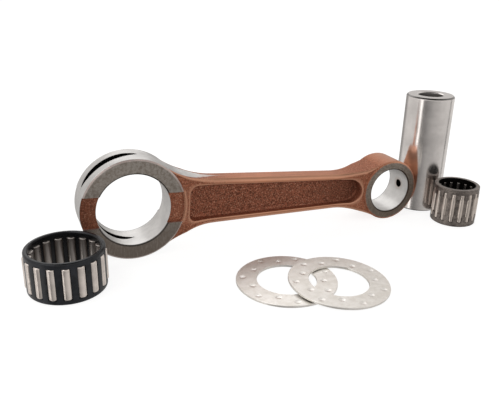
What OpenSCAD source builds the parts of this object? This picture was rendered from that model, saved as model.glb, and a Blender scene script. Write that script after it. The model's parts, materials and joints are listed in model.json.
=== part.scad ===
// Connecting rod kit of a small two-stroke engine, laid out on a flat surface.
//
// The rod stands on the rims of its two ends. Around it lie the crank pin, the two caged
// roller bearings and the two thrust washers that go with it.
//
// Frame: the origin is the centre of the big-end bore. +Y is along that bore, away from the
// loose pieces' side, +X is towards the small end and +Z is up. All sizes are in millimetres.

/* [Rod] */
// Distance between the two bore centres
rod_length = 135; // [112:1:162]
// Thickness of the ring around the big-end bore
big_ring_wall = 6.8; // [5.6:0.1:8.2]
// Thickness of the eye around the small-end bore
small_eye_wall = 4.4; // [3.6:0.1:5.3]
// Width across the machined side faces of both ends
rod_width = 17; // [14:0.5:20.5]

/* [Shank] */
// Height of the shank next to the big end
shank_big_h = 22.4; // [18.6:0.2:27]
// Height of the shank next to the small end
shank_small_h = 18.2; // [15:0.2:22]
// Thickness of the shank across its flanges
shank_w = 10.4; // [8.6:0.2:12.6]
// Thickness of the web between the two pockets
web_w = 4.4; // [2.4:0.1:6]
// Radius of the arcs that blend the shank into the big end
big_flare_r = 43; // [35:1:52]
// Radius of the arcs that blend the shank into the small end
small_flare_r = 60; // [50:1:72]

/* [Big end] */
// Height of the plain channel across each big-end face
channel_h = 14.4; // [8:0.1:18]
// Depth of that channel below the machined faces
channel_depth = 1.2; // [0.6:0.1:1.6]
// Widest opening of each oil slot at the outside of the ring
slot_w = 5.2; // [4:0.1:8.3]
// Angle of each oil slot from the rod's centre line
slot_angle = 120; // [100:1:144]

/* [Crank pin] */
// Outer diameter of the crank pin
pin_d = 25; // [20.8:0.1:30]
// Length of the crank pin
pin_length = 62.5; // [50:0.5:75]
// Diameter of the hole through the crank pin
pin_hole_d = 13; // [8:0.1:16]

/* [Big-end bearing] */
// Number of rollers
big_rollers = 17; // [12:1:18]
// Diameter of each roller, which with the pin's sets the big-end bore
big_roller_d = 4; // [3.3:0.1:4.8]
// Width of the cage
big_cage_w = 17.8; // [16.4:0.1:21.4]
// Length of each roller
big_roller_length = 13.4; // [10:0.1:15]

/* [Small-end bearing] */
// Diameter of the wrist pin that the needles run on
wrist_pin_d = 18; // [15:0.1:21.6]
// Diameter of each needle, which with the wrist pin's sets the small-end bore
needle_d = 2.5; // [2:0.1:3]
// Number of needles
small_needles = 16; // [10:1:18]
// Width of the cage
small_cage_w = 20; // [17.6:0.1:24]
// Length of each needle
small_needle_length = 15; // [12:0.1:17]

/* [Thrust washers] */
// Outer diameter of the washers
washer_d = 43; // [39:0.5:51.5]
// How much wider the hole of the washers is than the crank pin
washer_room = 0.5; // [0.2:0.1:1.5]
// Thickness of the washers
washer_t = 1; // [0.6:0.1:1.6]
// Number of oil dimples on each washer
dimples = 14; // [6:2:18]

/* [Hidden] */
$fn = 96;

// Colours
COPPER = [0.66, 0.40, 0.30];
POLISHED = [0.76, 0.76, 0.75];
BLACK_OXIDE = [0.15, 0.16, 0.18];
CAGE_STEEL = [0.42, 0.38, 0.36];
ROLLER_STEEL = [0.72, 0.70, 0.67];
WASHER_SILVER = [0.82, 0.80, 0.77];

// Rod: half widths measured from its middle plane, and blends
face_y = rod_width / 2;
rim_y = face_y - 0.6;
flare_y = face_y - 0.8;
channel_y = face_y - channel_depth;
big_bore_r = pin_d / 2 + big_roller_d;
big_ring_r = big_bore_r + big_ring_wall;
small_bore_r = wrist_pin_d / 2 + needle_d;
small_eye_r = small_bore_r + small_eye_wall;
face_step = 0.8;
bore_chamfer = 0.4;
sink = 0.15;
cut_past = 1;

// Shank: where the flares meet the straight stretch and where they run out into the two ends
flare_big_r = big_ring_r - sink;
flare_small_r = small_eye_r - sink;
big_h2 = shank_big_h / 2;
small_h2 = shank_small_h / 2;
flare_big_x = sqrt(pow(flare_big_r + big_flare_r, 2) - pow(big_h2 + big_flare_r, 2));
flare_small_dx = sqrt(pow(flare_small_r + small_flare_r, 2) - pow(small_h2 + small_flare_r, 2));
flare_small_x = rod_length - flare_small_dx;
shank_start_x = flare_big_x * flare_big_r / (flare_big_r + big_flare_r);
shank_end_x = rod_length - flare_small_dx * flare_small_r / (flare_small_r + small_flare_r);
flare_steps = 9;
middle_steps = 4;
corner_steps = 4;
swell_big_x = big_ring_r + 16;
swell_small_x = rod_length - small_eye_r - 13;
swell_big_run = 15;
swell_small_run = 13;

// Pocket in each side of the shank: its straight-sided outline at the flange and its draft
pocket_wall = 2.75;
pocket_big_r = 3.5;
pocket_big_x = big_ring_r + 2.5 + pocket_big_r;
pocket_small_r = small_h2 - pocket_wall - 0.15;
pocket_small_x = rod_length - small_eye_r - 0.9 - pocket_small_r;
pocket_draft = 0.16;

// Oil slots: a disc cutter with two sloping sides, plunged from outside the ring
cutter_r = big_ring_r * 0.7;
cutter_out = 3.6;
cutter_slope = slot_w / 2 / (cutter_r - cutter_out);
oil_hole_d = 4.2;
oil_hole_turn = 3;

// Crank pin
pin_chamfer = 0.8;
pin_hole_chamfer = 0.5;

// Bearings: rollers fill the gap between pin and bore, less a little running room
bore_room = 0.05;
roller_gap = 0.03;
end_gap = 0.1;
big_pitch_r = (pin_d + big_roller_d) / 2;
big_cage_r = big_bore_r - 0.5;
big_cage_bore_r = pin_d / 2 + 1.5;
big_lip_w = big_roller_d * 0.86;
big_roller_r = big_roller_d / 2 - bore_room / 2;
needle_r = needle_d / 2 - bore_room / 2;
small_pitch_r = (wrist_pin_d + needle_d) / 2;
small_cage_r = small_bore_r - 0.15;
small_cage_bore_r = wrist_pin_d / 2 + 0.3;
small_lip_w = needle_d * 0.88;
small_waist = 0.6;
small_waist_run = 2.6;
roller_round = 0.45;
needle_round = 0.3;
cage_chamfer = 0.5;
big_phase = 9.6;
small_phase = 20.5;

// Washers
dimple_d = 2.9;
dimple_depth = 0.2;
washer_chamfer = 0.15;
washer_r = washer_d / 2;
washer_hole_r = (pin_d + washer_room) / 2;
dimple_stagger = (washer_r - washer_hole_r) * 0.17;
washer_1_turn = 52;
washer_2_turn = 40;

// Layout on the surface, which is one big-end radius below the origin. Each loose piece
// keeps its distance from the piece beside it.
floor_z = -big_ring_r;
rod_tip = asin((big_ring_r - small_eye_r) / rod_length);
pin_gap = 0.7;
pin_at = [rod_length * cos(rod_tip) + small_eye_r + pin_gap + pin_d / 2, 4.4];
big_cage_gap = 0.57;
big_cage_heading = 236.4;
ring_at_cage_top = sqrt(pow(big_ring_r, 2) - pow(max(0, big_ring_r - big_cage_w), 2));
big_cage_at = [-ring_at_cage_top, -face_y]
  + (big_cage_r + big_cage_gap) * [cos(big_cage_heading), sin(big_cage_heading)];
small_cage_gap = 1.76;
small_cage_heading = -81;
small_cage_at = pin_at
  + (pin_d / 2 + small_cage_r + small_cage_gap) * [cos(small_cage_heading), sin(small_cage_heading)];
washers_from_rod = 20.7;
washer_1_at = [rod_length * 0.4, -face_y - washers_from_rod - washer_r];
washer_apart = washer_r * 1.0175;
washer_heading = -28.1;
washer_2_at = washer_1_at + washer_apart * [cos(washer_heading), sin(washer_heading)];
washer_gap = 0.1;
washer_touch = (pow(washer_r, 2) - pow(washer_hole_r, 2) + pow(washer_apart, 2)) / (2 * washer_apart);
washer_lean = atan((washer_t + washer_gap) / (washer_apart + washer_r - washer_touch));

// Value between a and b, t of the way along
function mix(a, b, t) = a + (b - a) * min(1, max(0, t));

// How far an arc of radius r has risen from its tangent after a run of d
function rise(r, d) = d > 0 ? r - sqrt(r * r - d * d) : 0;

// Half height of the shank at x: a straight taper with an arc into each end
function half_height(x) = mix(big_h2, small_h2, (x - flare_big_x) / (flare_small_x - flare_big_x))
  + rise(big_flare_r, flare_big_x - x) + rise(small_flare_r, x - flare_small_x);

// Half thickness of the shank at x: it swells to nearly the full width at each end
function half_width(x) = mix(shank_w / 2, flare_y, pow(max(0, (swell_big_x - x) / swell_big_run), 2))
  + mix(0, flare_y - shank_w / 2, pow(max(0, (x - swell_small_x) / swell_small_run), 2));

// Radius of the shank's long edges at x
function edge_round(x) = mix(0.9, 2.3, (x - big_ring_r) / 16) - mix(0, 0.8, (x - swell_small_x) / 12);

// Stations along the shank, close together where it flares
function stations() = concat(
  [for (i = [0:flare_steps - 1]) mix(shank_start_x, flare_big_x, i / flare_steps)],
  [for (i = [0:middle_steps - 1]) mix(flare_big_x, flare_small_x, i / middle_steps)],
  [for (i = [0:flare_steps]) mix(flare_small_x, shank_end_x, i / flare_steps)]
);

// Cross-section of the shank at x: a rectangle with rounded corners, in the YZ plane
function section(x) = [
  for (corner = [0:3], i = [0:corner_steps])
    let (
      a = 90 * corner + 90 * i / corner_steps,
      r = edge_round(x),
      sy = corner == 0 || corner == 3 ? 1 : -1,
      sz = corner < 2 ? 1 : -1
    )
    [x, sy * (half_width(x) - r) + r * cos(a), sz * (half_height(x) - r) + r * sin(a)]
];

// Closed skin over a list of cross-sections that all have the same number of points
module skin(sections) {
  m = len(sections[0]);
  n = len(sections);
  points = [for (s = sections) for (p = s) p];
  sides = [
    for (i = [0:n - 2], j = [0:m - 1])
      let (a = i * m + j, b = i * m + (j + 1) % m, c = a + m, d = b + m)
      each [[a, d, b], [a, c, d]]
  ];
  first = [for (j = [0:m - 1]) j];
  last = [for (j = [m - 1:-1:0]) (n - 1) * m + j];
  polyhedron(points, concat(sides, [first, last]), convexity = 4);
}

// Cylinder along Y, centred on the XZ plane
module y_cylinder(r, h) {
  rotate([90, 0, 0])
    cylinder(r = r, h = h, center = true);
}

// Frustum along Y from y1 to y2, mirrored to both sides of the XZ plane
module y_frustums(r1, r2, y1, y2) {
  for (side = [-90, 90])
    rotate([side, 0, 0])
      translate([0, 0, y1])
        cylinder(r1 = r1, r2 = r2, h = y2 - y1);
}

// Disc with a machined face on each side, stepped in from its rim
module rod_end(r) {
  y_cylinder(r, 2 * rim_y);
  y_frustums(r, r - face_step, rim_y, face_y);
}

// Through bore with a chamfer at each face
module rod_bore(r) {
  y_cylinder(r, rod_width + 2 * cut_past);
  y_frustums(r, r + bore_chamfer + cut_past, face_y - bore_chamfer, face_y + cut_past);
}

// Recess in both sides of the shank, with drafted walls
module pockets() {
  depth = face_y - web_w / 2 + cut_past;
  narrow = pocket_draft * (shank_w - web_w) / 2;
  wide = narrow * depth / ((shank_w - web_w) / 2);
  corner_z = big_h2 - pocket_wall - pocket_big_r;
  for (side = [-90, 90])
    rotate([side, 0, 0])
      translate([0, 0, web_w / 2])
        hull() {
          for (z = [-corner_z, corner_z])
            translate([pocket_big_x, z, 0])
              cylinder(r1 = pocket_big_r - narrow, r2 = pocket_big_r - narrow + wide, h = depth, $fn = 32);
          translate([pocket_small_x, 0, 0])
            cylinder(r1 = pocket_small_r - narrow, r2 = pocket_small_r - narrow + wide, h = depth, $fn = 32);
        }
}

// Plain channel across both faces of the big end, ending at the ring's rim
module channels() {
  cut = channel_depth + cut_past;
  for (side = [-1, 1])
    intersection() {
      translate([0, side * (channel_y + cut / 2), 0])
        cube([3 * big_ring_r, cut, channel_h], center = true);
      y_cylinder(big_ring_r + 0.05, rod_width + 4 * cut_past);
    }
}

// Lens-shaped oil slots through the big-end ring, on the side away from the shank
module oil_slots() {
  reach = big_ring_r + cutter_out;
  for (a = [-slot_angle, slot_angle])
    rotate([0, -a, 0])
      translate([reach, 0, 0])
        y_frustums(cutter_r, 0, 0, cutter_r * cutter_slope);
}

// Oil hole in the tip of the small end
module oil_hole() {
  translate([rod_length, 0, 0])
    rotate([0, 90 - oil_hole_turn, 0])
      translate([0, 0, small_bore_r - 2])
        cylinder(d = oil_hole_d, h = small_eye_r - small_bore_r + 4);
}

module connecting_rod() {
  color(COPPER)
    rotate([0, rod_tip, 0])
      difference() {
        union() {
          rod_end(big_ring_r);
          translate([rod_length, 0, 0])
            rod_end(small_eye_r);
          skin([for (x = stations()) section(x)]);
        }
        rod_bore(big_bore_r);
        translate([rod_length, 0, 0])
          rod_bore(small_bore_r);
        pockets();
        channels();
        oil_slots();
        oil_hole();
      }
}

module crank_pin() {
  r = pin_d / 2;
  hole_r = pin_hole_d / 2;
  c = pin_chamfer;
  h = pin_hole_chamfer;
  color(POLISHED)
    translate([pin_at[0], pin_at[1], floor_z])
      rotate_extrude()
        polygon([
          [hole_r + h, 0], [r - c, 0], [r, c], [r, pin_length - c],
          [r - c, pin_length], [hole_r + h, pin_length], [hole_r, pin_length - h], [hole_r, h]
        ]);
}

// Radial windows of a cage: a round seat for each roller and a narrower opening to the outside
module cage_windows(count, pitch_r, roller_r, length, lip_w, z, phase) {
  seat_r = roller_r + roller_gap;
  for (i = [1:count])
    rotate(phase + 360 * i / count) {
      translate([pitch_r, 0, z])
        cylinder(r = seat_r, h = length);
      translate([pitch_r, -lip_w / 2, z])
        cube([2 * roller_r, lip_w, length]);
    }
}

module big_end_cage() {
  r = big_cage_r;
  b = big_cage_bore_r;
  c = cage_chamfer;
  w = big_cage_w;
  window = big_roller_length + 2 * end_gap;
  color(BLACK_OXIDE)
    translate([big_cage_at[0], big_cage_at[1], floor_z])
      difference() {
        rotate_extrude()
          polygon([[b + c, 0], [r - c, 0], [r, c], [r, w - c], [r - c, w], [b + c, w], [b, w - c], [b, c]]);
        cage_windows(
          big_rollers, big_pitch_r, big_roller_r, window, big_lip_w, (w - window) / 2, big_phase
        );
      }
}

module small_end_cage() {
  r = small_cage_r;
  b = small_cage_bore_r;
  c = cage_chamfer / 2;
  w = small_cage_w;
  window = small_needle_length + 2 * end_gap;
  waist_z = (w - window) / 2 + small_waist_run;
  slope = small_waist;
  color(CAGE_STEEL)
    translate([small_cage_at[0], small_cage_at[1], floor_z])
      difference() {
        rotate_extrude()
          polygon([
            [b, 0], [r - c, 0], [r, c], [r, waist_z], [r - small_waist, waist_z + slope],
            [r - small_waist, w - waist_z - slope], [r, w - waist_z], [r, w - c], [r - c, w], [b, w]
          ]);
        cage_windows(
          small_needles, small_pitch_r, needle_r, window, small_lip_w, (w - window) / 2, small_phase
        );
      }
}

// Straight roller with rounded ends, standing on the XY plane
module roller(r, length, c) {
  steps = 3;
  lower = [for (i = [0:steps]) [r - c + c * sin(90 * i / steps), c - c * cos(90 * i / steps)]];
  upper = [for (i = [steps:-1:0]) [lower[i][0], length - lower[i][1]]];
  rotate_extrude($fn = 48)
    polygon(concat([[0, 0]], lower, upper, [[0, length]]));
}

// Roller number i of the big-end bearing, in its window
module big_end_roller(i) {
  color(ROLLER_STEEL)
    translate([big_cage_at[0], big_cage_at[1], floor_z + (big_cage_w - big_roller_length) / 2])
      rotate(big_phase + 360 * i / big_rollers)
        translate([big_pitch_r, 0, 0])
          roller(big_roller_r, big_roller_length, roller_round);
}

// Needle number i of the small-end bearing, in its window
module small_end_needle(i) {
  color(ROLLER_STEEL)
    translate([small_cage_at[0], small_cage_at[1], floor_z + (small_cage_w - small_needle_length) / 2])
      rotate(small_phase + 360 * i / small_needles)
        translate([small_pitch_r, 0, 0])
          roller(needle_r, small_needle_length, needle_round);
}

// Flat ring on the XY plane with two staggered rows of shallow round dimples in its top
module thrust_washer(turn) {
  c = washer_chamfer;
  ball_r = (pow(dimple_d / 2, 2) + pow(dimple_depth, 2)) / (2 * dimple_depth);
  row_r = (washer_r + washer_hole_r) / 2;
  color(WASHER_SILVER)
    difference() {
      rotate_extrude()
        polygon([
          [washer_hole_r, 0], [washer_r - c, 0], [washer_r, c],
          [washer_r, washer_t - c], [washer_r - c, washer_t], [washer_hole_r, washer_t]
        ]);
      for (i = [0:dimples - 1])
        rotate(turn + 360 * i / dimples)
          translate([row_r + (i % 2 == 0 ? dimple_stagger : -dimple_stagger), 0, washer_t])
            translate([0, 0, ball_r - dimple_depth])
              sphere(r = ball_r);
    }
}

// Washer lying flat
module thrust_washer_1() {
  translate([washer_1_at[0], washer_1_at[1], floor_z])
    thrust_washer(washer_1_turn);
}

// Washer with one edge on the surface, leaning on the first washer
module thrust_washer_2() {
  translate([washer_2_at[0], washer_2_at[1], floor_z + washer_r * sin(washer_lean)])
    rotate([0, 0, washer_heading])
      rotate([0, washer_lean, 0])
        thrust_washer(washer_2_turn);
}

connecting_rod();
crank_pin();
big_end_cage();
small_end_cage();
thrust_washer_1();
thrust_washer_2();
for (i = [1:big_rollers])
  big_end_roller(i);
for (i = [1:small_needles])
  small_end_needle(i);
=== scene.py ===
"""Connecting rod kit of a small two-stroke engine: its looks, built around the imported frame.

Every length below is in metres unless its name or comment says millimetres. The frame's
origin is the centre of the big-end bore, +X runs towards the small end, +Y along the bore
and +Z up from the surface that every piece stands on.
"""

import json
import math

import bmesh
import bpy
import numpy as np
from mathutils import Matrix, Vector


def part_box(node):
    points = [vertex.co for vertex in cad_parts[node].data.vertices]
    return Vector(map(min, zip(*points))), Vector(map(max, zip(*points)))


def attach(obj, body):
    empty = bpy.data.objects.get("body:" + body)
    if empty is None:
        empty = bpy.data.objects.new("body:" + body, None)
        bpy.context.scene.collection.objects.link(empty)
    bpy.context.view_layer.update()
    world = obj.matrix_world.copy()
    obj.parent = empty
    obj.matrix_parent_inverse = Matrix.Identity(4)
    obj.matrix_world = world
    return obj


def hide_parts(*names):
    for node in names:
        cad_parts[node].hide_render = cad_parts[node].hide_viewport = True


bl_info = {
    "name": "Connecting Rod Kit",
    "version": (1, 0, 0),
    "blender": (4, 5, 0),
    "location": "View3D > Sidebar > Rod Kit",
    "description": "Builds a connecting rod with its crank pin, bearings and thrust washers",
    "category": "Object",
}

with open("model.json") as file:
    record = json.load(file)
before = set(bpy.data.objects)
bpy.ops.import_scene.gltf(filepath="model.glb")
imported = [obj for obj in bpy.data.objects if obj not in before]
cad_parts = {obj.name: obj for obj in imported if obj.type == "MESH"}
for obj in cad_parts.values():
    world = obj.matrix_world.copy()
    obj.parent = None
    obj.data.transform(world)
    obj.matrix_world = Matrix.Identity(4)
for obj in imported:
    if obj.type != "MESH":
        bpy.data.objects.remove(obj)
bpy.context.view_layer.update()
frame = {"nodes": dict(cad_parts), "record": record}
MOUNTS = {mount["name"]: mount for mount in frame["record"]["mounts"]}

MM = 0.001
HAIR = 1e-9  # slack between lengths that should be equal
JOIN_REACH = 4e-7  # points nearer than this become one
FLIP = np.array([1, -1])  # turns (x, z) upside down

# The rod: its two ends, their side faces at FACE_Y and the rims' lower edges at RIM_Y
ROD_LOW, ROD_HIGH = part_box("connecting_rod")
EYE_AT = Vector(MOUNTS["small_end_bore"]["pos_m"])
ROD_TIP = math.atan2(-EYE_AT.z, EYE_AT.x)
ROD_LENGTH = EYE_AT.length
BIG_BORE_R = MOUNTS["big_end_bore"]["dims"]["r_mm"] * MM
SMALL_BORE_R = MOUNTS["small_end_bore"]["dims"]["r_mm"] * MM
FLOOR_Z = ROD_LOW.z
RING_R = -FLOOR_Z
EYE_R = RING_R + EYE_AT.z
FACE_Y = ROD_HIGH.y
RIM_Y = FACE_Y - 0.6 * MM
FLARE_Y = FACE_Y - 0.8 * MM
FACE_STEP = 0.8 * MM
BORE_CHAMFER = 0.4 * MM
RING_SINK = 0.15 * MM
RIDGE_H = 0.3 * MM
OIL_TURN = math.radians(3)

# The bearings: radii of their rollers' circles and cage bores, heights of their windows
BIG_PITCH_R, BIG_CAGE_BORE_R = 14.5 * MM, 14.0 * MM
SMALL_PITCH_R, SMALL_CAGE_BORE_R = 10.25 * MM, 9.3 * MM
BIG_WINDOW = (2.1 * MM, 15.7 * MM)
SMALL_WINDOW = (2.4 * MM, 17.6 * MM)
DIMPLES = 14  # oil dimples in each washer


# ---------------------------------------------------------------- sizes and colours


def length(name, description, value_mm):
    """A length that a user may change, stated in millimetres and kept in metres."""
    return bpy.props.FloatProperty(
        name=name, description=description, default=value_mm * MM, min=0.0, unit="LENGTH"
    )


def colour(name, description, value):
    """A surface colour that a user may change."""
    return bpy.props.FloatVectorProperty(
        name=name, description=description, default=value, min=0, max=1, size=3, subtype="COLOR"
    )


class RodKitSizes(bpy.types.PropertyGroup):
    """Sizes of the shaped parts that the frame's mounts don't state."""

    shank_big_h: length("Shank at Big End", "Height of the shank next to the big end", 22.4)
    shank_small_h: length("Shank at Small End", "Height of the shank next to the small end", 18.2)
    shank_w: length("Shank Thickness", "Thickness of the shank across its flanges", 10.4)
    web_w: length("Web Thickness", "Thickness of the web between the pockets", 4.4)
    big_flare_r: length("Big Flare", "Radius of the blend into the big end", 43.0)
    small_flare_r: length("Small Flare", "Radius of the blend into the small end", 60.0)
    pocket_wall: length("Pocket Wall", "Width of the flange beside each pocket", 2.75)
    pocket_fillet: length("Pocket Fillet", "Radius at the bottom of each pocket", 1.3)
    channel_h: length("Channel Height", "Height of the channel across the big end", 14.4)
    channel_depth: length("Channel Depth", "Depth of the channel below the faces", 1.2)
    slot_w: length("Slot Width", "Widest opening of each oil slot", 5.2)
    oil_hole_d: length("Oil Hole", "Diameter of the small end's oil hole", 4.2)
    pin_hole_d: length("Pin Hole", "Diameter of the hole through the crank pin", 13.0)
    pin_chamfer: length("Pin Chamfer", "Chamfer of the crank pin's outer edges", 0.8)
    dimple_d: length("Dimple", "Diameter of the oil dimples in the washers", 2.9)
    dimple_depth: length("Dimple Depth", "Depth of the oil dimples in the washers", 0.2)


class RodKitColours(bpy.types.PropertyGroup):
    copper: colour("Copper", "Plating on the smooth flanges", (0.48, 0.20, 0.112))
    copper_dark: colour("Copper in Hollows", "Plating on grainy low surfaces", (0.30, 0.115, 0.07))
    bare_steel: colour("Bare Steel", "Turned rims and honed bores", (0.62, 0.61, 0.60))
    ground_face: colour("Ground Faces", "Side faces of both rod ends", (0.30, 0.275, 0.25))
    pin_steel: colour("Crank Pin", "Polished crank pin", (0.80, 0.765, 0.745))
    black_cage: colour("Black Cage", "Oxide finish of the big-end cage", (0.010, 0.011, 0.014))
    brown_cage: colour("Brown Cage", "Phosphate finish of the small-end cage", (0.20, 0.175, 0.16))
    roller: colour("Rollers", "Ground rollers and needles", (0.80, 0.735, 0.69))
    washer: colour("Washers", "Silver plating of the washers", (0.90, 0.875, 0.84))


# ---------------------------------------------------------------- meshes


def weld(name, patches, sharp=32, marks=None):
    """One closed mesh from grids of points, each an array (rows, columns, 3), joined where
    they touch. marks gives, for each attribute name, one array of values for each grid."""
    points, faces, start = [], [], 0
    for patch in patches:
        patch, keep = patch if isinstance(patch, tuple) else (patch, None)
        rows, columns = patch.shape[:2]
        index = start + np.arange(rows * columns).reshape(rows, columns)
        quads = np.stack([index[:-1, :-1], index[1:, :-1], index[1:, 1:], index[:-1, 1:]], -1)
        faces.append(quads.reshape(-1, 4) if keep is None else quads[keep])
        points.append(patch.reshape(-1, 3))
        start += rows * columns
    mesh = bpy.data.meshes.new(name)
    mesh.from_pydata(np.concatenate(points).tolist(), [], np.concatenate(faces).tolist())
    for mark, grids in (marks or {}).items():
        values = np.concatenate([grid.ravel() for grid in grids]).astype(np.float32)
        mesh.attributes.new(mark, "FLOAT", "POINT").data.foreach_set("value", values)
    shell = bmesh.new()
    shell.from_mesh(mesh)
    bmesh.ops.remove_doubles(shell, verts=shell.verts, dist=JOIN_REACH)
    loose = [vert for vert in shell.verts if not vert.link_faces]
    bmesh.ops.delete(shell, geom=loose, context="VERTS")
    bmesh.ops.recalc_face_normals(shell, faces=shell.faces)
    shell.to_mesh(mesh)
    shell.free()
    mesh.shade_smooth()
    mesh.set_sharp_from_angle(angle=math.radians(sharp))
    return mesh


def place(name, mesh, material, body, nodes):
    """Puts a finished mesh in the scene for the CAD nodes that it stands for."""
    piece = bpy.data.objects.new(name, mesh)
    bpy.context.scene.collection.objects.link(piece)
    mesh.materials.append(material)
    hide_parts(*nodes)
    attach(piece, body)


def lathe(profile, columns, centre=(0.0, 0.0)):
    """Grid of a profile turned about the upright axis through centre: the point at
    (radius, z) goes to (radius cos a, radius sin a, z) for a from 0 to a full turn."""
    a = np.linspace(0, 2 * np.pi, columns + 1)
    r, z = np.asarray(profile, float).T[:, :, None]
    return np.stack([centre[0] + r * np.cos(a), centre[1] + r * np.sin(a), z + 0 * a], -1)


def rounded(corners, radius, steps=4):
    """Profile through corners, each one that has a radius rounded: the arc is the curve
    (1-t)^2 A + 2t(1-t) C + t^2 B between the points A and B at that distance from corner C."""
    corners = np.asarray(corners, float)
    radius = np.broadcast_to(radius, len(corners))
    t = np.linspace(0, 1, steps + 1)[:, None]
    out = [corners[:1]]
    for before, corner, after, r in zip(corners, corners[1:], corners[2:], radius[1:]):
        if r <= 0:
            out.append(corner[None])
            continue
        a = corner + (before - corner) * r / np.linalg.norm(before - corner)
        b = corner + (after - corner) * r / np.linalg.norm(after - corner)
        out.append((1 - t) ** 2 * a + 2 * t * (1 - t) * corner + t**2 * b)
    out.append(corners[-1:])
    return np.concatenate(out)


def lay_over(points):
    """Turns points of the level rod about the big-end bore until its small end is down:
    x' = x cos a + z sin a and z' = z cos a - x sin a."""
    c, s = math.cos(ROD_TIP), math.sin(ROD_TIP)
    x, y, z = np.moveaxis(points, -1, 0)
    return np.stack([x * c + z * s, y, z * c - x * s], -1)


def both_sides(grid):
    """A grid on the +Y side and its mirror image on the -Y side."""
    return [grid, grid * np.array([1.0, -1.0, 1.0])]


# ---------------------------------------------------------------- rod ends


def rod_end(centre_x, outer_r, bore_r, columns, drop, channel_y, opening):
    """Grids of one end of the rod, a ring with its axis along Y. columns holds a, b and c
    of each column, whose angle at radius r is a + b asin(c / r), so that a column follows a
    straight edge at height c where b is 1. drop is 1 where the face lies down in the
    channel. opening(r, angle) is half the width of the slot or hole through the ring's
    middle. The profile runs from the opening up the rim, over the face and down the bore."""
    a, b, c = columns
    ease = np.linspace(0, 1, 9)
    bevel = np.linspace(0, 1, 4)[1:]
    face_r = np.linspace(outer_r - FACE_STEP, bore_r + BORE_CHAMFER, 7)[1:]
    chamfer_r = bore_r + BORE_CHAMFER * (1 - bevel)
    top_r = np.concatenate([outer_r - FACE_STEP * bevel, face_r, chamfer_r])
    step_y, chamfer_y = RIM_Y + (FACE_Y - RIM_Y) * bevel, FACE_Y - BORE_CHAMFER * bevel
    top_y = np.concatenate([step_y, 0 * face_r + FACE_Y, chamfer_y])

    def angle(r):
        return a + b * np.arcsin(c / r)

    def at(r, y, turn):
        return np.stack([centre_x + r * np.cos(turn), y, r * np.sin(turn)], -1)

    def lowered(y):
        return y - drop * np.maximum(0, y - channel_y)

    rim_turn, bore_turn = angle(outer_r), angle(bore_r)
    rim_low, bore_low = opening(outer_r, rim_turn), opening(bore_r, bore_turn)
    rows = [at(outer_r + 0 * a, rim_low + (lowered(RIM_Y) - rim_low) * e, rim_turn) for e in ease]
    rows += [at(r + 0 * a, lowered(y), angle(r)) for r, y in zip(top_r, top_y)]
    bore_top = lowered(FACE_Y - BORE_CHAMFER)
    rows += [at(bore_r + 0 * a, bore_top + (bore_low - bore_top) * e, bore_turn) for e in ease[1:]]
    wall_r = np.linspace(outer_r, bore_r, 9)
    wall_y = np.array([opening(r, angle(r)) for r in wall_r])
    wall = np.stack([at(r + 0 * a, y, angle(r)) for r, y in zip(wall_r, wall_y)])
    cells = np.stack([wall_y[:-1, :-1], wall_y[1:, :-1], wall_y[1:, 1:], wall_y[:-1, 1:]])
    is_open = cells.max(0) > 100 * HAIR
    patches = []
    for side in both_sides(np.stack(rows)):
        patches.append(lay_over(side))
    for side in both_sides(wall):
        patches.append((lay_over(side), is_open))
    return patches


def big_end_mesh(sizes):
    """Ring of the big end: two raised pads beside a straight channel, and two oil slots
    that a disc cutter with a rounded edge has left. With s = (cutter radius - d) / depth at
    the distance d from the cutter's axis, the slot's half width is half (s (2 - s))^0.7."""
    edge = sizes.channel_h / 2
    floor_edge = edge - 0.25 * MM
    channel = np.linspace(0, floor_edge, 14)
    steps = np.linspace(0, 1, 5)[1:]
    fan = np.linspace(0, 1, 171)[1:-1]
    rise = 1 - steps**2
    flat = 0 * np.concatenate([channel, steps])
    slope = floor_edge + (edge - floor_edge) * steps
    a = np.concatenate([flat, np.pi * fan, flat + np.pi])
    b = np.concatenate([flat + 1, 1 - 2 * fan, flat - 1])
    c = np.concatenate([channel, slope, 0 * fan + edge, slope[::-1], channel[::-1]])
    drop = np.concatenate([1 + 0 * channel, rise, 0 * fan, rise[::-1], 1 + 0 * channel])
    columns = (
        np.concatenate([a, 2 * np.pi - a[-2::-1]]),
        np.concatenate([b, -b[-2::-1]]),
        np.concatenate([c, c[-2::-1]]),
    )
    drop = np.concatenate([drop, drop[-2::-1]])
    cutter_r, cutter_out = RING_R * 0.7, 3.6 * MM
    reach = RING_R + cutter_out
    slot_turn = math.radians(120)

    def opening(r, angle):
        width = 0 * angle
        for turn in (slot_turn, -slot_turn):
            apart = np.sqrt(r * r + reach * reach - 2 * r * reach * np.cos(angle - turn))
            s = np.clip((cutter_r - apart) / (cutter_r - cutter_out), 0, 1)
            width = np.maximum(width, sizes.slot_w / 2 * (s * (2 - s)) ** 0.7)
        return width

    return weld(
        "rod_big_end",
        rod_end(0.0, RING_R, BIG_BORE_R, columns, drop, FACE_Y - sizes.channel_depth, opening),
    )


def small_end_mesh(sizes):
    """Eye of the small end with a round oil hole from the side: at the angle t from the
    hole's middle its half width is the root of (hole radius^2 - (r sin t)^2)."""
    hole_r = sizes.oil_hole_d / 2
    across = np.linspace(0, 1, 25)
    fan = np.linspace(0, 1, 181)[1:]
    columns = (
        OIL_TURN + np.concatenate([0 * across, 2 * np.pi * fan]),
        np.concatenate([1 + 0 * across, 1 - 2 * fan]),
        np.concatenate([-hole_r * np.cos(np.pi * across), 0 * fan + hole_r]),
    )

    def opening(r, angle):
        off = r * np.sin(angle - OIL_TURN)
        near = np.cos(angle - OIL_TURN) > 0
        return np.where(near, np.sqrt(np.maximum(0, hole_r**2 - off**2)), 0)

    drop = 0 * columns[0]
    return weld(
        "rod_small_end",
        rod_end(ROD_LENGTH, EYE_R, SMALL_BORE_R, columns, drop, FACE_Y, opening),
    )


# ---------------------------------------------------------------- shank


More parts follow.
